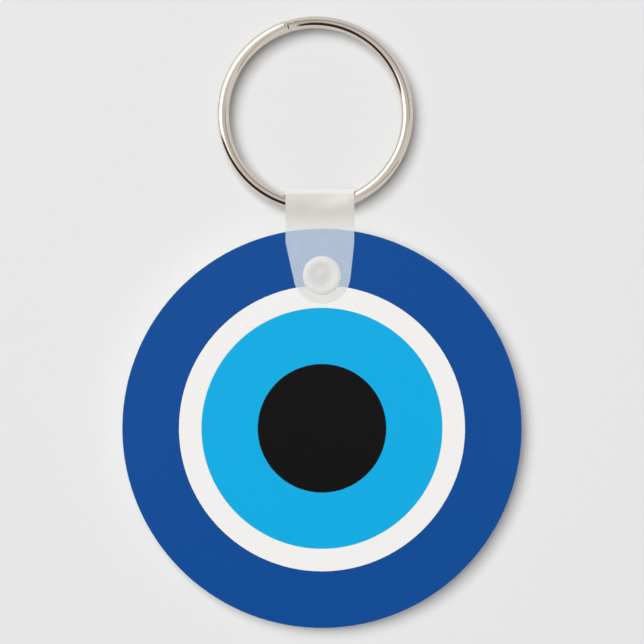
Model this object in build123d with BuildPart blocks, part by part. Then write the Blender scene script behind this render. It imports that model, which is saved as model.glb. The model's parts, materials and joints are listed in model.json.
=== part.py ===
from build123d import *
import math
import os

# Evil eye key ring, in millimetres. A flat disc carries the eye as a thin print. A moulded
# plastic strap is folded round a split ring and snapped together through a hole in the disc.
# The origin is the centre of the printed face. +Z points out of that face, and +Y points
# from the eye's centre to the snap and the ring. The object lies flat, face up.

# ---- driving dimensions ----

disc_radius = 57.15 / 2          # 2 1/4 inch disc
core_thickness = 2.2
coat_thickness = 0.1             # each of the printed front coat and the plain back coat
disc_edge_round = 0.05

pupil_radius = 9.19
iris_radius = 17.22
white_radius = 20.43

snap_y = 21.84                   # from the eye's centre to the snap's axis
snap_hole_radius = 2.1
stud_clearance = 0.1             # the strap turns about the stud in this hole

strap_width = 9.8
strap_thickness = 0.55
strap_shift = -0.3               # the folded end stands a little to the left of the snap
strap_end_radius = 4.07
strap_taper_y = 26.5             # the sides are parallel above this line
strap_face_gap = 0.05            # between each leg and the disc's faces
leg_bend_y = 29.0                # the legs start to open out round the ring here
loop_y = 32.35                   # the loop's axis, which the ring swings about
loop_inner_radius = 1.65

socket_radius = 2.77
socket_height = 0.55
socket_dish_radius = 1.7
socket_dish_depth = 0.22
socket_nub_radius = 0.45
socket_nub_height = 0.12
socket_round = 0.2
stud_head_radius = 2.9
stud_head_height = 0.6
stud_head_round = 0.2
stud_neck_radius = 1.2
stud_bulb_radius = 1.35
stud_bulb_height = 0.2
snap_play = 0.05                 # between the two halves of the snap, and round their stems
socket_stem_radius = 1.8
socket_cavity_top = 0.3          # depth of the bulb's cavity into the cap

ring_outer_radius = 14.0         # 28 mm split ring
ring_wire_width = 1.6            # measured along the ring's radius
ring_wire_height = 0.96
ring_turn_gap = 0.04
ring_x = -0.94
ring_y = 44.95
ring_crossing_angle = 109.5      # the wire leaves the upper turn here and drops clockwise
ring_crossing_span = 8.0
ring_end_overlap = 5.5           # degrees that each ground end reaches back past the crossing
ring_end_gap = 0.05              # between the ground ends and the crossing
crossing_sections = 7

# ---- worked out from them ----

front_z = 0.0
core_top_z = front_z - coat_thickness
core_bottom_z = core_top_z - core_thickness
back_z = core_bottom_z - coat_thickness
middle_z = (front_z + back_z) / 2

front_leg_bottom_z = front_z + strap_face_gap
front_leg_top_z = front_leg_bottom_z + strap_thickness
back_leg_top_z = back_z - strap_face_gap
back_leg_bottom_z = back_leg_top_z - strap_thickness
leg_centre = front_leg_bottom_z + strap_thickness / 2 - middle_z
loop_centre_radius = loop_inner_radius + strap_thickness / 2
loop_outer_radius = loop_inner_radius + strap_thickness

stud_radius = snap_hole_radius - stud_clearance
stud_leg_hole_radius = stud_radius + snap_play
socket_leg_hole_radius = socket_stem_radius + snap_play
socket_top_z = front_leg_top_z + socket_height
cavity_top_z = front_leg_top_z + socket_cavity_top
cavity_radius = stud_bulb_radius + snap_play
bulb_top_z = cavity_top_z - snap_play

ring_centre_radius = ring_outer_radius - ring_wire_width / 2
ring_turn_height = (ring_wire_height + ring_turn_gap) / 2
end_cutter_width = ring_wire_width * 1.2
end_cutter_height = ring_wire_height * 2
ring_axis = Axis((ring_x, ring_y, 0), (0, 0, 1))

os.makedirs("parts", exist_ok=True)


def save(part, label):
    """Name a finished piece and write it to its own file."""
    part.label = label
    export_step(part, f"parts/{label}.step")


def snap_circle(height, radius):
    """A flat circle about the snap's axis, at this height."""
    with BuildSketch(Plane.XY.offset(height)) as circle:
        with Locations((0, snap_y)):
            Circle(radius)
    return circle.sketch


# ---- core panel: the white hard plastic disc inside the coats ----

with BuildPart() as core_panel:
    with BuildSketch(Plane.XY.offset(core_bottom_z)):
        Circle(disc_radius)
        with Locations((0, snap_y)):
            Circle(snap_hole_radius, mode=Mode.SUBTRACT)
    extrude(amount=core_thickness)
    rims = core_panel.edges().filter_by(GeomType.CIRCLE).group_by(SortBy.RADIUS)[-1]
    fillet(rims, radius=disc_edge_round)
save(core_panel.part, "core_panel")

# ---- back coat: the plain white gloss layer ----

with BuildPart() as back_coat:
    with BuildSketch(Plane.XY.offset(back_z)):
        Circle(disc_radius - disc_edge_round)
        with Locations((0, snap_y)):
            Circle(snap_hole_radius, mode=Mode.SUBTRACT)
    extrude(amount=coat_thickness)
save(back_coat.part, "back_coat")

# ---- the four colour areas of the printed front coat, from the middle outwards ----

eye_zones = [
    ("print_black_pupil", 0, pupil_radius),
    ("print_light_blue_iris", pupil_radius, iris_radius),
    ("print_white_ring", iris_radius, white_radius),
    ("print_dark_blue_rim", white_radius, disc_radius - disc_edge_round),
]

for zone_name, inner_radius, outer_radius in eye_zones:
    with BuildPart() as zone:
        with BuildSketch(Plane.XY.offset(core_top_z)):
            Circle(outer_radius)
            if inner_radius > 0:
                Circle(inner_radius, mode=Mode.SUBTRACT)
            with Locations((0, snap_y)):
                Circle(snap_hole_radius, mode=Mode.SUBTRACT)
        extrude(amount=coat_thickness)
    save(zone.part, zone_name)

# ---- strap: one moulded strip, folded round the ring, with a leg on each face of the disc ----

bend_run = loop_y - leg_bend_y
bend_rise = loop_centre_radius - leg_centre
bend_radius = (bend_run ** 2 + bend_rise ** 2) / (4 * bend_rise)
strap_left = strap_shift - strap_width / 2
strap_right = strap_shift + strap_width / 2
past_fold = loop_outer_radius * 2    # far enough to clear the whole folded strap

with BuildPart() as strap:
    # the folded strip seen from its side, with legs longer than they end up
    with BuildSketch(Plane(origin=(strap_left, 0, middle_z), x_dir=(0, 1, 0), z_dir=(1, 0, 0))):
        with BuildLine():
            leg = Line((snap_y - strap_width, leg_centre), (leg_bend_y, leg_centre))
            middle_of_bend = (leg_bend_y + bend_run / 2, leg_centre + bend_rise / 2)
            RadiusArc(leg @ 1, middle_of_bend, bend_radius)
            RadiusArc(middle_of_bend, (loop_y, loop_centre_radius), -bend_radius)
            mirror(about=Plane.XZ)
            CenterArc((loop_y, 0), loop_centre_radius, -90, 180)
        trace(line_width=strap_thickness)
    extrude(amount=strap_width)
    # the outline of both legs seen from the front: a round end, a taper and parallel sides
    with BuildSketch(Plane.XY.offset(middle_z)):
        with BuildLine():
            CenterArc((0, snap_y), strap_end_radius, 0, 360)
            side_top_y = loop_y + past_fold
            Line((strap_left, strap_taper_y), (strap_left, side_top_y))
            Line((strap_right, strap_taper_y), (strap_right, side_top_y))
        make_hull()
    extrude(amount=past_fold, both=True, mode=Mode.INTERSECT)
    # one hole for each half of the snap
    extrude(snap_circle(middle_z, socket_leg_hole_radius), amount=past_fold, mode=Mode.SUBTRACT)
    extrude(snap_circle(middle_z, stud_leg_hole_radius), amount=-past_fold, mode=Mode.SUBTRACT)
save(strap.part, "strap")

# ---- snap socket: the round dished cap on the front leg ----

with BuildPart() as snap_socket:
    extrude(snap_circle(front_leg_bottom_z, socket_stem_radius), amount=strap_thickness)
    extrude(snap_circle(front_leg_top_z, socket_radius), amount=socket_height)
    fillet(snap_socket.edges().group_by(Axis.Z)[-1], radius=socket_round)
    # the dish, with a low nub left standing in its middle
    with BuildSketch(Plane.XY.offset(socket_top_z - socket_dish_depth)):
        with Locations((0, snap_y)):
            Circle(socket_dish_radius)
            Circle(socket_nub_radius, mode=Mode.SUBTRACT)
    extrude(amount=socket_dish_depth, mode=Mode.SUBTRACT)
    nub_below_top = socket_dish_depth - socket_nub_height
    extrude(snap_circle(socket_top_z, socket_nub_radius), amount=-nub_below_top, mode=Mode.SUBTRACT)
    # the cavity that the stud's bulb snaps into
    cavity_depth = cavity_top_z - front_leg_bottom_z
    extrude(snap_circle(front_leg_bottom_z, cavity_radius), amount=cavity_depth, mode=Mode.SUBTRACT)
save(snap_socket.part, "snap_socket")

# ---- snap stud: the head behind the back leg and the stem that passes through the disc ----

with BuildPart() as snap_stud:
    extrude(snap_circle(back_leg_bottom_z, stud_head_radius), amount=-stud_head_height)
    fillet(snap_stud.edges().group_by(Axis.Z)[0], radius=stud_head_round)
    extrude(snap_circle(back_leg_bottom_z, stud_radius), amount=front_z - back_leg_bottom_z)
    extrude(snap_circle(front_z, stud_neck_radius), amount=bulb_top_z - front_z)
    extrude(snap_circle(bulb_top_z, stud_bulb_radius), amount=-stud_bulb_height)
save(snap_stud.part, "snap_stud")

# ---- split ring: oval wire wound twice, with one crossing from the upper to the lower turn ----


def ring_section_plane(angle):
    """The upright plane through the ring's axis at this angle, its X pointing outwards."""
    out = Vector(math.cos(math.radians(angle)), math.sin(math.radians(angle)), 0)
    along = Vector(out.Y, -out.X, 0)
    return Plane(origin=(ring_x, ring_y, middle_z), x_dir=out, z_dir=along)


def crossing_steps():
    """Where the crossing's sections stand, as (angle, height). It is steepest in the middle."""
    steps = []
    for step in range(crossing_sections):
        dropped = step / (crossing_sections - 1)
        angle = ring_crossing_angle - ring_crossing_span * dropped
        steps.append((angle, ring_turn_height * math.cos(math.pi * dropped)))
    return steps


def wire_section(angle, height):
    """The wire's oval section, this far above or below the ring's middle plane."""
    with BuildSketch(ring_section_plane(angle)) as section:
        with Locations((ring_centre_radius, height)):
            Ellipse(ring_wire_width / 2, ring_wire_height / 2)
    return section.sketch


def turn_of_wire(start_angle, side):
    """The upper turn for side 1 or the lower one for side -1, its free end ground to a point."""
    with BuildPart() as turn:
        add(wire_section(start_angle, side * ring_turn_height))
        revolve(axis=ring_axis, revolution_arc=360 - ring_crossing_span + ring_end_overlap)
        for angle, height in crossing_steps():
            ground_off = height + side * (ring_end_gap - ring_wire_height / 2)
            with BuildSketch(ring_section_plane(angle)):
                with Locations((ring_centre_radius, ground_off)):
                    Rectangle(end_cutter_width, end_cutter_height)
        loft(mode=Mode.SUBTRACT)
    return turn.part


with BuildPart() as split_ring:
    add(turn_of_wire(ring_crossing_angle, 1))
    add(turn_of_wire(ring_crossing_angle - ring_end_overlap, -1))
    for angle, height in crossing_steps():
        add(wire_section(angle, height))
    loft()
save(split_ring.part, "split_ring")
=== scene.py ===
import json
import math
import bmesh
import bpy
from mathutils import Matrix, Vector


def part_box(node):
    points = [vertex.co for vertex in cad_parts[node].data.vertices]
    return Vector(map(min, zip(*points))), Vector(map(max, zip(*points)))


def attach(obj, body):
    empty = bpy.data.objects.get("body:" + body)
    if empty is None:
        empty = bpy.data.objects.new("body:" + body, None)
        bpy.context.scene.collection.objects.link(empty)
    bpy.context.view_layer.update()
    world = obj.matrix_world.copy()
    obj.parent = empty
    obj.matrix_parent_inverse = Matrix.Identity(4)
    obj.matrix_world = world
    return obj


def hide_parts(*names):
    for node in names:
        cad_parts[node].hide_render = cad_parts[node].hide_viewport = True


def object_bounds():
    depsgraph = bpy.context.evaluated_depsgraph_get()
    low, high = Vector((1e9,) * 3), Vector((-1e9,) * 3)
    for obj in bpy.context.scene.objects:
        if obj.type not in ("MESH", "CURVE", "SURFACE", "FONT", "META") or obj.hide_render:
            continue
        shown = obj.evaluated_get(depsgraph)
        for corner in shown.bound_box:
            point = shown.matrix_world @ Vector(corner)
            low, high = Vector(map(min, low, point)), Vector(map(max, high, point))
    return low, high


# The looks of the evil eye key ring: an eye printed on a flat disc, a frosted strap with a
# snap, and a nickel split ring. Lengths are in metres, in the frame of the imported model: +Z
# points out of the printed face, and +Y from the eye's centre to the snap and the ring.

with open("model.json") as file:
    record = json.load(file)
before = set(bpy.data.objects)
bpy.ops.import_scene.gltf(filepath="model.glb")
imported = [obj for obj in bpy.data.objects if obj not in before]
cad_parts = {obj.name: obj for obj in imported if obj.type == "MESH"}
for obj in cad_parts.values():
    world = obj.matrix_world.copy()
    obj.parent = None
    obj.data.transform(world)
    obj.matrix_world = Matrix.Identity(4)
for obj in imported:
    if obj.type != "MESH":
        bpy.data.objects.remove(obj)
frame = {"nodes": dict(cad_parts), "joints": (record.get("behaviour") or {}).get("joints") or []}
cad_low, cad_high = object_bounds()

MM = 0.001

# ---- places taken from the frame ----

joints = {joint["name"]: joint for joint in frame["joints"]}
snap_axis = Vector(joints["strap_pivot"]["pos_m"])
loop_axis = Vector(joints["ring_swing"]["pos_m"])
strap_low, strap_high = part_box("strap")
socket_low, socket_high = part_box("snap_socket")
stud_low, stud_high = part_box("snap_stud")
ring_low, ring_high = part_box("split_ring")
disc_back_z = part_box("back_coat")[0].z
disc_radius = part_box("core_panel")[1].x
rim_inner_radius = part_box("print_white_ring")[1].x
object_centre = (cad_low + cad_high) / 2
object_length = cad_high.y - cad_low.y

# ---- shape details that the frame doesn't give ----

STRAP_THICKNESS = 0.55 * MM
STRAP_GAP = 0.05 * MM           # between each leg and the disc's faces
STRAP_TAPER_Y = 26.5 * MM       # the strap's sides are parallel above this line
STRAP_BEND_Y = 29.0 * MM        # the legs start to open out round the ring here
STRAP_EDGE_ROUND = 0.17 * MM
STRAP_COLUMNS = 24              # faces across the strap
TIP_ROWS = 26                   # and along each stretch of one leg
LEG_ROWS = 30
BEND_ROWS = 14
LOOP_ROWS = 22
LATHE_SEGMENTS = 160
ARC_STEPS = 5                   # faces in each rounded corner of a turned part

# ---- colours ----

INKS = {
    "print_black_pupil": (0.002, 0.002, 0.002),
    "print_light_blue_iris": (0.002, 0.41, 0.76),
    "print_white_ring": (0.885, 0.870, 0.853),
    "print_dark_blue_rim": (0.002, 0.068, 0.296),
}
CORE_WHITES = ((0.73, 0.73, 0.71), (0.79, 0.79, 0.77))
BACK_WHITES = ((0.84, 0.84, 0.83), (0.88, 0.88, 0.87))
NICKEL_TONES = ((0.62, 0.56, 0.49), (0.80, 0.74, 0.665))
PAPER_TONES = ((0.795, 0.797, 0.800), (0.803, 0.805, 0.808))

# the frosted plastic, from the front leg's tip up to the top of the fold, with painted light and shade in
# its colours
TIP_MILK = (0.70, 0.70, 0.67)
# painted light: the print's blue scattered in the front leg
BLUE_BOUNCE_MILK = (0.68, 0.775, 0.85)
# lighter by the disc's edge, then painted shade in the bend and the loop
LEG_MILK = (0.765, 0.745, 0.715)
BEND_SHADE_MILK = (0.68, 0.655, 0.625)
LOOP_SHADE_MILK = (0.69, 0.67, 0.63)
# a painted glint on the fold
PAINTED_GLINT_MILK = (0.80, 0.775, 0.71)
# a painted highlight along the top of the fold
TOP_HIGHLIGHT_MILK = (1.0, 1.0, 1.0)

# its moulded rim, painted white as a highlight along the edges, and the snap, with painted shade in its
# dish
RIM_HIGHLIGHT_MILK = (1.0, 1.0, 1.0)
CAP_MILK = (0.73, 0.725, 0.71)
# painted shade in the snap's dish
DISH_SHADE_MILK = (0.665, 0.65, 0.635)

# ---- light, reflections and camera ----

FLOOR_SIZE = 12.0
WORLD_STRENGTH = 0.22
SOFTBOX = {"azimuth": 140, "zenith": 20, "distance": 3.0, "size": 2.0, "radiance": 6.72}

TENT_RADIUS = 1.4
TENT_LEVEL = 0.85
TENT_WHITE = (1, 0.985, 0.965)
DARK_WALL_BROWN = (0.060, 0.036, 0.027)
GLOW_ABOVE_LEVEL = 1.1

# Patches of the tent, in degrees: azimuth from +X towards +Y, top and bottom from straight up.
GLOW = {"azimuth": 152, "half": 44, "top": 22, "bottom": 60, "soft": 5}
DARK_WALL = {"azimuth": -125, "half": 49, "top": 10, "bottom": 62, "soft": 4, "slant": 0.5}
GREY_BARS = [                   # how much each one darkens the tent, and where
    (0.16, {"azimuth": 62, "half": 45, "top": 2, "bottom": 55, "soft": 5}),
    (0.60, {"azimuth": 57, "half": 48, "top": 20, "bottom": 32, "soft": 2}),
    (0.60, {"azimuth": -38, "half": 16, "top": 13, "bottom": 33, "soft": 2, "slant": -1.4}),
    (0.50, {"azimuth": 128, "half": 18, "top": 3, "bottom": 9, "soft": 2}),
]

CAMERA_LENS = 135               # millimetres
VIEW_MARGIN = 1.0511            # the view's width over the object's length


# ---- mesh helpers ----


def add_object(name, data):
    """A new object for a mesh, light or camera, linked to the scene."""
    piece = bpy.data.objects.new(name, data)
    bpy.context.scene.collection.objects.link(piece)
    return piece


def finish_mesh(name, mesh):
    """Turn a bmesh into a new object."""
    data = bpy.data.meshes.new(name)
    mesh.to_mesh(data)
    mesh.free()
    return add_object(name, data)


def turned(step, angle):
    """A flat step (x, y) turned anticlockwise by this angle."""
    cosine = math.cos(angle)
    sine = math.sin(angle)
    return Vector((step.x * cosine - step.y * sine, step.x * sine + step.y * cosine))


def rounded_corner(here, before, after, rounding):
    """The points of the arc that replaces a corner, from the side of the point before it."""
    back = (before - here).normalized()
    onward = (after - here).normalized()
    half_angle = back.angle(onward) / 2
    reach = rounding / math.tan(half_angle)
    centre = here + (back + onward).normalized() * (rounding / math.sin(half_angle))
    first = here + back * reach - centre
    last = here + onward * reach - centre
    sweep = -first.angle_signed(last)
    return [centre + turned(first, sweep * step / ARC_STEPS) for step in range(ARC_STEPS + 1)]


def rounded_profile(corners):
    """The corners (radius, height, rounding) as points, each rounded corner cut to an arc."""
    places = [Vector(corner[:2]) for corner in corners]
    points = []
    for index, here in enumerate(places):
        rounding = corners[index][2]
        if rounding == 0:
            points.append(here)
        else:
            after = places[(index + 1) % len(places)]
            points.extend(rounded_corner(here, places[index - 1], after, rounding))
    return points


def lathe(name, corners, centre):
    """A solid turned about a vertical axis from a closed outline of (radius, height, rounding)."""
    mesh = bmesh.new()
    rings = []
    for point in rounded_profile(corners):
        if point.x == 0:
            rings.append([mesh.verts.new((centre.x, centre.y, point.y))])
            continue
        ring = []
        for step in range(LATHE_SEGMENTS):
            angle = 2 * math.pi * step / LATHE_SEGMENTS
            x = centre.x + point.x * math.cos(angle)
            y = centre.y + point.x * math.sin(angle)
            ring.append(mesh.verts.new((x, y, point.y)))
        rings.append(ring)
    for lower, upper in zip(rings, rings[1:] + rings[:1]):
        if len(lower) == 1 and len(upper) == 1:
            continue
        for step in range(LATHE_SEGMENTS):
            after = (step + 1) % LATHE_SEGMENTS
            corner_loop = [lower[step % len(lower)], lower[after % len(lower)],
                           upper[after % len(upper)], upper[step % len(upper)]]
            mesh.faces.new(list(dict.fromkeys(corner_loop)))
    bmesh.ops.recalc_face_normals(mesh, faces=mesh.faces)
    return finish_mesh(name, mesh)


def apply_modifiers(piece):
    """Replace the piece's mesh by what its modifiers make of it."""
    graph = bpy.context.evaluated_depsgraph_get()
    result = bpy.data.meshes.new_from_object(piece.evaluated_get(graph))
    piece.modifiers.clear()
    piece.data = result


def smooth(piece, sharp_above=40):
    """Smooth shading, with edges sharper than this many degrees left sharp."""
    mesh = bmesh.new()
    mesh.from_mesh(piece.data)
    limit = math.radians(sharp_above)
    for edge in mesh.edges:
        edge.smooth = len(edge.link_faces) == 2 and edge.calc_face_angle(0) < limit
    for face in mesh.faces:
        face.smooth = True
    mesh.to_mesh(piece.data)
    mesh.free()
    weigh = piece.modifiers.new("weigh", "WEIGHTED_NORMAL")
    weigh.keep_sharp = True
    apply_modifiers(piece)


# ---- material helpers ----


def start_material(name):
    """A new node material, its node tree, and its Principled shader."""
    material = bpy.data.materials.new(name)
    material.use_nodes = True
    tree = material.node_tree
    return material, tree, tree.nodes["Principled BSDF"]


def connect(tree, value, socket):
    """Feed a socket with another node's output, a colour or a number."""
    if isinstance(value, bpy.types.NodeSocket):
        tree.links.new(value, socket)
    elif isinstance(value, tuple):
        socket.default_value = (*value, 1)
    else:
        socket.default_value = value


def object_place(tree):
    """The shaded point's place, fixed to the object."""
    return tree.nodes.new("ShaderNodeTexCoord").outputs["Object"]


def vector_maths(tree, operation, first, second=(0, 0, 0)):
    """A vector maths node on a vector output and a fixed vector."""
    node = tree.nodes.new("ShaderNodeVectorMath")
    node.operation = operation
    tree.links.new(first, node.inputs[0])
    node.inputs[1].default_value = second
    return node.outputs["Vector"]


def parts_of(tree, vector):
    """The x, y and z of a vector output."""
    split = tree.nodes.new("ShaderNodeSeparateXYZ")
    tree.links.new(vector, split.inputs["Vector"])
    return [split.outputs[axis] for axis in "XYZ"]


def place_from(tree, centre):
    """The shaded point's x, y and z measured from this centre, in metres."""
    return parts_of(tree, vector_maths(tree, "SUBTRACT", object_place(tree), centre))


def calculate(tree, operation, first, second=0.0):
    """A maths node on two values, each a node's output or a number."""
    node = tree.nodes.new("ShaderNodeMath")
    node.operation = operation
    connect(tree, first, node.inputs[0])
    connect(tree, second, node.inputs[1])
    return node.outputs["Value"]


def length_of(tree, across, up):
    """The length of a step with these two parts."""
    squares = [calculate(tree, "MULTIPLY", part, part) for part in (across, up)]
    return calculate(tree, "SQRT", calculate(tree, "ADD", *squares))


def ramp(tree, value, start, end, low=0.0, high=1.0, shape="LINEAR"):
    """Map a value from start..end to low..high, held at low and high outside them."""
    node = tree.nodes.new("ShaderNodeMapRange")
    node.interpolation_type = shape
    connect(tree, value, node.inputs["Value"])
    connect(tree, start, node.inputs["From Min"])
    connect(tree, end, node.inputs["From Max"])
    connect(tree, low, node.inputs["To Min"])
    connect(tree, high, node.inputs["To Max"])
    return node.outputs["Result"]


def noise_in(tree, vector, size, detail):
    """Noise in this vector, with features of about this size."""
    noise = tree.nodes.new("ShaderNodeTexNoise")
    noise.inputs["Scale"].default_value = 1 / size
    noise.inputs["Detail"].default_value = detail
    tree.links.new(vector, noise.inputs["Vector"])
    return noise.outputs["Fac"]


def noise_node(tree, size, detail=3.0):
    """Noise with features of about this size, in metres, fixed to the object."""
    return noise_in(tree, object_place(tree), size, detail)


def spread(tree, noise, low=0.0, high=1.0):
    """Stretch a noise's usual range, 0.3 to 0.7, over low..high."""
    return ramp(tree, noise, 0.3, 0.7, low, high)


def wander(tree, size, low=0.0, high=1.0, detail=3.0):
    """A value that wanders between low and high, in patches of about this size."""
    return spread(tree, noise_node(tree, size, detail), low, high)


def mix_colours(tree, factor, first, second):
    """A colour between first and second by the factor."""
    node = tree.nodes.new("ShaderNodeMix")
    node.data_type = "RGBA"
    connect(tree, factor, node.inputs[0])
    connect(tree, first, node.inputs[6])
    connect(tree, second, node.inputs[7])
    return node.outputs[2]


def bump(tree, shader, height, strength, distance=0.01 * MM):
    """Drive the shader's normal by a height value."""
    node = tree.nodes.new("ShaderNodeBump")
    node.inputs["Strength"].default_value = strength
    node.inputs["Distance"].default_value = distance
    tree.links.new(height, node.inputs["Height"])
    tree.links.new(node.outputs["Normal"], shader.inputs["Normal"])


def scaled(colour, factor):
    """A colour times a number."""
    return tuple(channel * factor for channel in colour)


def mottled(tree, milk):
    """The milk's colour with faint clouds in it."""
    return mix_colours(tree, wander(tree, size=1.5 * MM), scaled(milk, 0.985), scaled(milk, 1.01))


# ---- materials ----


def print_material(name, ink):
    """Ink under a smooth satin coat: fine print grain in the colour, faint ripples in the coat."""
    material, tree, shader = start_material(name)
    grain = wander(tree, size=0.12 * MM, detail=2)
    colour = mix_colours(tree, grain, scaled(ink, 0.97), scaled(ink, 1.03))
    connect(tree, colour, shader.inputs["Base Color"])
    satin = wander(tree, size=3 * MM, low=0.24, high=0.30, detail=4)
    connect(tree, satin, shader.inputs["Roughness"])
    shader.inputs["Specular IOR Level"].default_value = 0.14
    bump(tree, shader, noise_node(tree, size=1.6 * MM, detail=1), strength=0.12)
    return material


def core_material():
    """White hard plastic whose cut edge shows the cutter's fine bands."""
    material, tree, shader = start_material("core_plastic_look")
    colour = mix_colours(tree, wander(tree, size=0.5 * MM), *CORE_WHITES)
    connect(tree, colour, shader.inputs["Base Color"])
    shader.inputs["Roughness"].default_value = 0.5
    squeezed_in_z = vector_maths(tree, "MULTIPLY", object_place(tree), (1, 1, 12))
    bands = noise_in(tree, squeezed_in_z, size=0.6 * MM, detail=2)
    bump(tree, shader, bands, strength=0.35, distance=0.02 * MM)
    return material


def back_material():
    """The plain white gloss coat on the back, faintly rippled."""
    material, tree, shader = start_material("back_gloss_look")
    colour = mix_colours(tree, wander(tree, size=2 * MM), *BACK_WHITES)
    connect(tree, colour, shader.inputs["Base Color"])
    gloss = wander(tree, size=3 * MM, low=0.14, high=0.22, detail=4)
    connect(tree, gloss, shader.inputs["Roughness"])
    bump(tree, shader, noise_node(tree, size=1.6 * MM, detail=1), strength=0.3)
    return material


def frost(tree, shader):
    """The fine matt surface of frosted plastic."""
    matt = wander(tree, size=0.6 * MM, low=0.42, high=0.55, detail=4)
    connect(tree, matt, shader.inputs["Roughness"])
    shader.inputs["Sheen Weight"].default_value = 0.6
    shader.inputs["Sheen Roughness"].default_value = 0.35
    bump(tree, shader, noise_node(tree, size=0.09 * MM, detail=3), strength=0.2)


def snap_material():
    """The snap's thick milky plastic, which is hardly see-through, with painted shade that makes it a
    little darker in its dish.
    """
    material, tree, shader = start_material("snap_frosted_look")
    x, y = place_from(tree, snap_axis)[:2]
    outside_dish = ramp(tree, length_of(tree, x, y), 1.2 * MM, 2.0 * MM)
    colour = mix_colours(tree, outside_dish, mottled(tree, DISH_SHADE_MILK), mottled(tree, CAP_MILK))
    connect(tree, colour, shader.inputs["Base Color"])
    frost(tree, shader)
    connect(tree, wander(tree, size=2.5 * MM, low=0.95, high=0.98), shader.inputs["Alpha"])
    return material


def strap_rim_highlight_material():
    """The strap's moulded rim, painted whiter than its faces: a painted highlight along the strip's edges.
    """
    material, tree, shader = start_material("strap_rim_highlight_look")
    connect(tree, mottled(tree, RIM_HIGHLIGHT_MILK), shader.inputs["Base Color"])
    frost(tree, shader)
    connect(tree, wander(tree, size=2.5 * MM, low=0.82, high=0.88), shader.inputs["Alpha"])
    return material


def painted_glint_shape(tree):
    """A painted highlight: a soft slanting spot to the right of the fold's middle."""
    half_width = 3.0 * MM
    half_height = 1.3 * MM
    slant = 0.38
    x, y = place_from(tree, loop_axis + Vector((2.0, 0.2, 0)) * MM)[:2]
    above = calculate(tree, "SUBTRACT", y, calculate(tree, "MULTIPLY", x, slant))
    from_middle = length_of(tree, calculate(tree, "DIVIDE", x, half_width),
                            calculate(tree, "DIVIDE", above, half_height))
    uneven = wander(tree, size=2 * MM, low=-0.3, high=0.3, detail=1)
    return ramp(tree, calculate(tree, "ADD", from_middle, uneven), 0.35, 1.2, low=0.9, high=0)


def painted_fold_shading(tree, y):
    """The strip beyond the disc: painted shade, darkest where it opens round the ring, with a painted glint
    and a painted highlight along its white top.
    """
    darkest_y = (disc_radius + loop_axis.y) / 2 + 1.0 * MM
    highlight_start = strap_high.y - 1.3 * MM
    highlight_end = strap_high.y - 0.5 * MM
    colour = mix_colours(tree, ramp(tree, y, disc_radius, darkest_y),
                         mottled(tree, LEG_MILK), mottled(tree, BEND_SHADE_MILK))
    colour = mix_colours(tree, ramp(tree, y, darkest_y, loop_axis.y), colour, mottled(tree, LOOP_SHADE_MILK))
    colour = mix_colours(tree, painted_glint_shape(tree), colour, mottled(tree, PAINTED_GLINT_MILK))
    return mix_colours(tree, ramp(tree, y, highlight_start, highlight_end), colour, mottled(tree, TOP_HIGHLIGHT_MILK))


def strap_material():
    """Thin frosted strip that light soaks into. Where the front leg lies over the print's blue it is
    painted bluer: painted light from the print, scattered in the strip.
    """
    edge_softness = 0.15 * MM
    soak_depth = 0.35 * MM
    material, tree, shader = start_material("strap_frosted_look")
    frost(tree, shader)
    shader.inputs["Subsurface Weight"].default_value = 0.4
    shader.inputs["Subsurface Radius"].default_value = (1, 1, 1)
    shader.inputs["Subsurface Scale"].default_value = soak_depth

    x, y, z = place_from(tree, Vector((0, 0, 0)))
    from_eye = length_of(tree, x, y)
    past_white = ramp(tree, from_eye, rim_inner_radius - edge_softness, rim_inner_radius + edge_softness)
    past_disc = ramp(tree, from_eye, disc_radius - edge_softness, disc_radius + edge_softness)
    in_front = calculate(tree, "GREATER_THAN", z, loop_axis.z)
    # over the blue rim the front leg takes the painted blue light
    over_blue = calculate(tree, "MULTIPLY", past_white, in_front)
    colour = mix_colours(tree, over_blue, mottled(tree, TIP_MILK), mottled(tree, BLUE_BOUNCE_MILK))
    colour = mix_colours(tree, past_disc, colour, painted_fold_shading(tree, y))
    connect(tree, colour, shader.inputs["Base Color"])

    leg_alpha = wander(tree, size=2.5 * MM, low=0.39, high=0.41)
    fold_alpha = 0.80
    connect(tree, ramp(tree, past_disc, 0, 1, leg_alpha, fold_alpha), shader.inputs["Alpha"])
    return material


def nickel_material():
    """Polished nickel plate, with the fine lines that drawing leaves along the wire."""
    line_spacing = 0.14 * MM
    material, tree, shader = start_material("ring_nickel_look")
    shader.inputs["Metallic"].default_value = 1
    x, y, z = place_from(tree, (ring_low + ring_high) / 2)
    along_wire = tree.nodes.new("ShaderNodeCombineXYZ")
    outwards = calculate(tree, "DIVIDE", length_of(tree, x, y), line_spacing)
    connect(tree, outwards, along_wire.inputs["X"])
    connect(tree, calculate(tree, "DIVIDE", z, line_spacing), along_wire.inputs["Y"])
    connect(tree, calculate(tree, "ARCTAN2", y, x), along_wire.inputs["Z"])
    lines = noise_in(tree, along_wire.outputs["Vector"], size=1, detail=2)
    connect(tree, mix_colours(tree, spread(tree, lines), *NICKEL_TONES), shader.inputs["Base Color"])
    polish = wander(tree, size=0.3 * MM, low=0.05, high=0.09, detail=4)
    connect(tree, polish, shader.inputs["Roughness"])
    bump(tree, shader, lines, strength=0.3)
    return material


# ---- the CAD nodes that stay: the disc's core, coats and print, and the ring ----


def use_material(node, material):
    """Give a carried-over CAD node its material."""
    cad = frame["nodes"][node]
    cad.data.materials.clear()
    cad.data.materials.append(material)


for node_name, ink_colour in INKS.items():
    use_material(node_name, print_material(node_name + "_look", ink_colour))
use_material("core_panel", core_material())
use_material("back_coat", back_material())
use_material("split_ring", nickel_material())


# ---- pieces that replace CAD nodes ----


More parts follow.
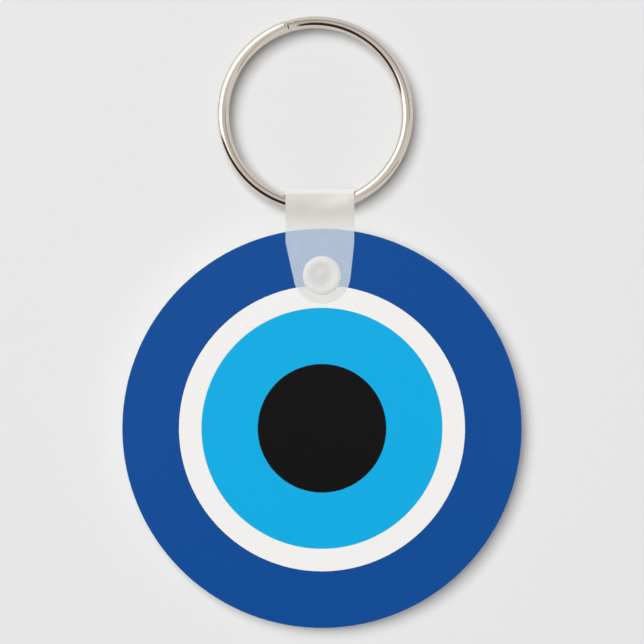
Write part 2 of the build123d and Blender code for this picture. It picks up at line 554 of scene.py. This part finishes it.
def let_light_through(piece):
    """No shadow and no bounce: either would darken or tint what shows through the frosted plastic."""
    piece.visible_shadow = False
    piece.visible_diffuse = False


def stand_in(piece, node):
    """Put a finished strap or snap piece in its CAD node's place."""
    let_light_through(piece)
    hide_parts(node)
    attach(piece, "strap")


# ---- the strap ----


class FoldedPath:
    """The strap's centre line, from the front leg's tip over the loop to the back leg's tip."""

    def __init__(self):
        disc_half = (socket_low.z - STRAP_GAP - disc_back_z) / 2
        self.leg_height = disc_half + STRAP_GAP + STRAP_THICKNESS / 2
        self.loop_radius = strap_high.y - loop_axis.y - STRAP_THICKNESS / 2
        # each leg joins the loop by two equal arcs, one bent outwards and one bent back
        run = loop_axis.y - STRAP_BEND_Y
        rise = self.loop_radius - self.leg_height
        self.bend_radius = (run ** 2 + rise ** 2) / (4 * rise)
        bend_length = self.bend_radius * math.asin(run / 2 / self.bend_radius)
        self.leg_length = STRAP_BEND_Y - strap_low.y
        self.bend_middle = self.leg_length + bend_length
        self.loop_start = self.leg_length + 2 * bend_length
        self.half_length = self.loop_start + math.pi / 2 * self.loop_radius

    def at(self, distance):
        """The point (y, z) this far from the front tip, and the direction out of the strap's outer face."""
        mirrored = distance > self.half_length
        along = 2 * self.half_length - distance if mirrored else distance
        if along <= self.leg_length:
            lean = 0.0
            y = strap_low.y + along
            height = self.leg_height
        elif along <= self.bend_middle:
            lean = (self.leg_length - along) / self.bend_radius
            y = STRAP_BEND_Y - self.bend_radius * math.sin(lean)
            height = self.leg_height + self.bend_radius * (1 - math.cos(lean))
        elif along <= self.loop_start:
            lean = (along - self.loop_start) / self.bend_radius
            y = loop_axis.y + self.bend_radius * math.sin(lean)
            height = self.loop_radius - self.bend_radius * (1 - math.cos(lean))
        else:
            lean = (along - self.loop_start) / self.loop_radius
            y = loop_axis.y + self.loop_radius * math.sin(lean)
            height = self.loop_radius * math.cos(lean)
        side = -1 if mirrored else 1
        return y, loop_axis.z + side * height, math.sin(lean), side * math.cos(lean)


def taper_touch(corner, side, end_radius):
    """Where the tapered side from this corner meets the strap's round end."""
    to_centre = snap_axis.xy - corner
    tangent_length = math.sqrt(to_centre.length ** 2 - end_radius ** 2)
    turn = side * math.asin(end_radius / to_centre.length)
    return corner + turned(to_centre.normalized(), turn) * tangent_length


def strap_limits(y):
    """The strap's left and right sides at this height up the leg."""
    end_radius = snap_axis.y - strap_low.y
    limits = []
    for corner_x, side in ((strap_low.x, -1), (strap_high.x, 1)):
        touch = taper_touch(Vector((corner_x, STRAP_TAPER_Y)), side, end_radius)
        if y >= STRAP_TAPER_Y:
            limits.append(corner_x)
        elif y >= touch.y:
            share = (y - touch.y) / (STRAP_TAPER_Y - touch.y)
            limits.append(touch.x + (corner_x - touch.x) * share)
        else:
            from_centre = min(abs(y - snap_axis.y), end_radius)
            limits.append(snap_axis.x + side * math.sqrt(end_radius ** 2 - from_centre ** 2))
    return limits


def strap_stations(path):
    """Distances along the strap for its rows, close together at the round tips and in the loop."""
    end_radius = snap_axis.y - strap_low.y
    distances = []
    for step in range(1, TIP_ROWS + 1):
        distances.append(end_radius * (1 - math.cos(math.pi / 2 * step / TIP_ROWS)))
    stretches = (
        (end_radius, path.leg_length, LEG_ROWS),
        (path.leg_length, path.loop_start, BEND_ROWS),
        (path.loop_start, path.half_length, LOOP_ROWS),
    )
    for start, end, rows in stretches:
        for step in range(1, rows + 1):
            distances.append(start + (end - start) * step / rows)
    mirrored = [2 * path.half_length - distance for distance in reversed(distances[:-1])]
    return distances + mirrored


def flat_strip(path):
    """The strap laid out flat: x across it, y the distance along it, z its thickness."""
    mesh = bmesh.new()
    rows = []
    for distance in strap_stations(path):
        left, right = strap_limits(path.at(distance)[0])
        step = (right - left) / STRAP_COLUMNS
        row = []
        for height in (STRAP_THICKNESS / 2, -STRAP_THICKNESS / 2):
            row.append([mesh.verts.new((left + step * column, distance, height))
                        for column in range(STRAP_COLUMNS + 1)])
        rows.append(row)
    for (top, bottom), (next_top, next_bottom) in zip(rows, rows[1:]):
        for column in range(STRAP_COLUMNS):
            after = column + 1
            mesh.faces.new((top[column], top[after], next_top[after], next_top[column]))
            mesh.faces.new((bottom[column], next_bottom[column], next_bottom[after], bottom[after]))
        mesh.faces.new((top[0], next_top[0], next_bottom[0], bottom[0]))
        mesh.faces.new((top[-1], bottom[-1], next_bottom[-1], next_top[-1]))
    for top, bottom in (rows[0], rows[-1]):
        for column in range(STRAP_COLUMNS):
            mesh.faces.new((top[column], top[column + 1], bottom[column + 1], bottom[column]))
    bmesh.ops.recalc_face_normals(mesh, faces=mesh.faces)
    return finish_mesh("strap_body", mesh)


def round_edges(piece):
    """Round the flat strip's sharp edges."""
    bevel = piece.modifiers.new("edge", "BEVEL")
    bevel.width = STRAP_EDGE_ROUND
    bevel.segments = 3
    bevel.limit_method = "ANGLE"
    bevel.angle_limit = math.radians(60)
    bevel.use_clamp_overlap = True
    apply_modifiers(piece)


def make_strap():
    """The folded strip, softly rounded. It needs no holes, since the snap's cap and head cover them."""
    least_flat = 0.9            # the normal's Z from which a face is the strip's, not its rim's
    path = FoldedPath()
    piece = flat_strip(path)
    round_edges(piece)
    piece.data.materials.append(strap_material())
    piece.data.materials.append(strap_rim_highlight_material())
    for face in piece.data.polygons:
        face.material_index = 0 if abs(face.normal.z) > least_flat else 1
    for vertex in piece.data.vertices:
        x, distance, height = vertex.co
        y, z, out_y, out_z = path.at(min(max(distance, 0), 2 * path.half_length))
        vertex.co = (x, y + out_y * height, z + out_z * height)
    smooth(piece)
    return piece


stand_in(make_strap(), "strap")


# ---- the snap ----


def make_socket():
    """The dished cap on the front leg, with its stem and the cavity that grips the stud."""
    radius = (socket_high.x - socket_low.x) / 2
    top = socket_high.z
    nub_top = top - 0.07 * MM
    dish_floor = top - 0.16 * MM
    lip = top - 0.005 * MM
    shoulder = top - 0.12 * MM
    leg_top = socket_low.z + STRAP_THICKNESS
    cavity_top = leg_top + 0.3 * MM
    stem_radius = 1.8 * MM
    cavity_radius = 1.4 * MM
    corners = [
        (0, nub_top, 0),
        (0.30 * MM, nub_top, 0.2 * MM),
        (0.65 * MM, dish_floor, 0.4 * MM),
        (1.30 * MM, dish_floor, 0.6 * MM),
        (1.95 * MM, lip, 0.6 * MM),
        (2.30 * MM, top, 0.2 * MM),
        (radius, shoulder, 0.14 * MM),
        (radius, leg_top, 0.04 * MM),
        (stem_radius, leg_top, 0),
        (stem_radius, socket_low.z, 0.05 * MM),
        (cavity_radius, socket_low.z, 0.05 * MM),
        (cavity_radius, cavity_top, 0.05 * MM),
        (0, cavity_top, 0),
    ]
    return lathe("snap_cap", corners, snap_axis)


def make_stud():
    """The head behind the back leg and the stem that passes through the disc to the bulb."""
    head_radius = (stud_high.x - stud_low.x) / 2
    shaft_radius = 2.0 * MM
    neck_radius = 1.2 * MM
    bulb_radius = 1.35 * MM
    head_bottom = stud_low.z
    head_top = head_bottom + 0.6 * MM
    recess = head_bottom + 0.18 * MM
    recess_middle = head_bottom + 0.1 * MM
    shaft_top = 0.0
    bulb_top = stud_high.z
    corners = [
        (0, bulb_top, 0),
        (bulb_radius, bulb_top, 0.08 * MM),
        (bulb_radius, bulb_top - 0.2 * MM, 0.08 * MM),
        (neck_radius, bulb_top - 0.28 * MM, 0.04 * MM),
        (neck_radius, shaft_top, 0.05 * MM),
        (shaft_radius, shaft_top, 0.06 * MM),
        (shaft_radius, head_top, 0),
        (head_radius, head_top, 0.04 * MM),
        (head_radius, head_bottom + 0.1 * MM, 0.15 * MM),
        (head_radius - 0.45 * MM, head_bottom, 0.25 * MM),
        (1.9 * MM, head_bottom, 0.15 * MM),
        (1.6 * MM, recess, 0.1 * MM),
        (0.5 * MM, recess, 0.05 * MM),
        (0.4 * MM, recess_middle, 0.05 * MM),
        (0, recess_middle, 0),
    ]
    return lathe("snap_stud_body", corners, snap_axis)


snap_look = snap_material()
for snap_piece, node_name in ((make_socket(), "snap_socket"), (make_stud(), "snap_stud")):
    smooth(snap_piece)
    snap_piece.data.materials.append(snap_look)
    stand_in(snap_piece, node_name)


# ---- studio ----


def make_floor():
    """A large sheet of pale matte paper under the object."""
    material, tree, shader = start_material("floor_paper")
    fibre = wander(tree, size=0.8 * MM, detail=4)
    connect(tree, mix_colours(tree, fibre, *PAPER_TONES), shader.inputs["Base Color"])
    shader.inputs["Roughness"].default_value = 1
    shader.inputs["Specular IOR Level"].default_value = 0
    mesh = bmesh.new()
    bmesh.ops.create_grid(mesh, x_segments=1, y_segments=1, size=FLOOR_SIZE / 2)
    floor = finish_mesh("floor", mesh)
    floor.location = (object_centre.x, object_centre.y, cad_low.z)
    floor.data.materials.append(material)


def make_softbox(azimuth, zenith, distance, size, radiance):
    """A square softbox that faces the object. Azimuth is from +X towards +Y, zenith from straight up."""
    turn = math.radians(azimuth)
    tilt = math.radians(zenith)
    way = Vector((math.sin(tilt) * math.cos(turn), math.sin(tilt) * math.sin(turn), math.cos(tilt)))
    data = bpy.data.lights.new("key_softbox", "AREA")
    data.shape = "SQUARE"
    data.size = size
    data.energy = radiance * math.pi * size ** 2
    lamp = add_object("key_softbox", data)
    lamp.location = object_centre + way * distance
    lamp.rotation_mode = "QUATERNION"
    lamp.rotation_quaternion = way.to_track_quat("Z", "Y")
    lamp.visible_camera = False
    lamp.visible_glossy = False


def tent_patch(tree, way, azimuth, half, top, bottom, soft, slant=0.0):
    """1 inside a patch of the tent, with edges this soft. A slant lowers the patch along its length."""
    x, y, z = way
    ahead_x = math.cos(math.radians(azimuth))
    ahead_y = math.sin(math.radians(azimuth))
    along = calculate(tree, "ADD", calculate(tree, "MULTIPLY", x, ahead_x),
                      calculate(tree, "MULTIPLY", y, ahead_y))
    aside = calculate(tree, "SUBTRACT", calculate(tree, "MULTIPLY", y, ahead_x),
                      calculate(tree, "MULTIPLY", x, ahead_y))
    turn = calculate(tree, "DEGREES", calculate(tree, "ARCTAN2", aside, along))
    zenith = calculate(tree, "DEGREES", calculate(tree, "ARCCOSINE", z))
    tilt = calculate(tree, "ADD", zenith, calculate(tree, "MULTIPLY", turn, slant))
    inside = ramp(tree, calculate(tree, "ABSOLUTE", turn), half + soft, half - soft, shape="SMOOTHSTEP")
    below_top = ramp(tree, tilt, top - soft, top + soft, shape="SMOOTHSTEP")
    above_bottom = ramp(tree, tilt, bottom + soft, bottom - soft, shape="SMOOTHSTEP")
    return calculate(tree, "MULTIPLY", inside, calculate(tree, "MULTIPLY", below_top, above_bottom))


def tent_material():
    """Pale glowing walls with one brighter patch, a dark brown wall and a few grey bars."""
    material = bpy.data.materials.new("tent_glow")
    material.use_nodes = True
    tree = material.node_tree
    tree.nodes.clear()
    way = parts_of(tree, vector_maths(tree, "NORMALIZE", object_place(tree)))
    glow = calculate(tree, "MULTIPLY", tent_patch(tree, way, **GLOW), GLOW_ABOVE_LEVEL)
    level = calculate(tree, "ADD", TENT_LEVEL, glow)
    for depth, place in GREY_BARS:
        bar = calculate(tree, "MULTIPLY", tent_patch(tree, way, **place), depth)
        level = calculate(tree, "MULTIPLY", level, calculate(tree, "SUBTRACT", 1, bar))
    emission = tree.nodes.new("ShaderNodeEmission")
    colour = mix_colours(tree, tent_patch(tree, way, **DARK_WALL), TENT_WHITE, DARK_WALL_BROWN)
    connect(tree, colour, emission.inputs["Color"])
    connect(tree, level, emission.inputs["Strength"])
    output = tree.nodes.new("ShaderNodeOutputMaterial")
    tree.links.new(emission.outputs["Emission"], output.inputs["Surface"])
    return material


def make_tent():
    """A bowl over the object that only its reflections see."""
    brim = -0.02 * TENT_RADIUS
    mesh = bmesh.new()
    bmesh.ops.create_uvsphere(mesh, u_segments=96, v_segments=48, radius=TENT_RADIUS)
    below = [vertex for vertex in mesh.verts if vertex.co.z < brim]
    bmesh.ops.delete(mesh, geom=below, context="VERTS")
    tent = finish_mesh("reflection_tent", mesh)
    tent.location = object_centre
    tent.data.materials.append(tent_material())
    tent.visible_camera = False
    tent.visible_diffuse = False
    tent.visible_shadow = False
    tent.visible_transmission = False
    tent.visible_volume_scatter = False


def make_world():
    """Even white light from all round."""
    world = bpy.data.worlds.new("studio")
    world.use_nodes = True
    background = world.node_tree.nodes["Background"]
    background.inputs["Color"].default_value = (1, 1, 1, 1)
    background.inputs["Strength"].default_value = WORLD_STRENGTH
    bpy.context.scene.world = world


def make_camera():
    """A long lens square above the printed face, with the ring at the top of the picture."""
    data = bpy.data.cameras.new("camera")
    data.lens = CAMERA_LENS
    data.clip_start = 0.01
    data.clip_end = 10
    camera = add_object("camera", data)
    distance = object_length * VIEW_MARGIN * data.lens / data.sensor_width
    camera.location = (object_centre.x, object_centre.y, distance)
    bpy.context.scene.camera = camera


make_floor()
make_softbox(**SOFTBOX)
make_tent()
make_world()
make_camera()
bpy.context.scene.view_settings.view_transform = "Standard"
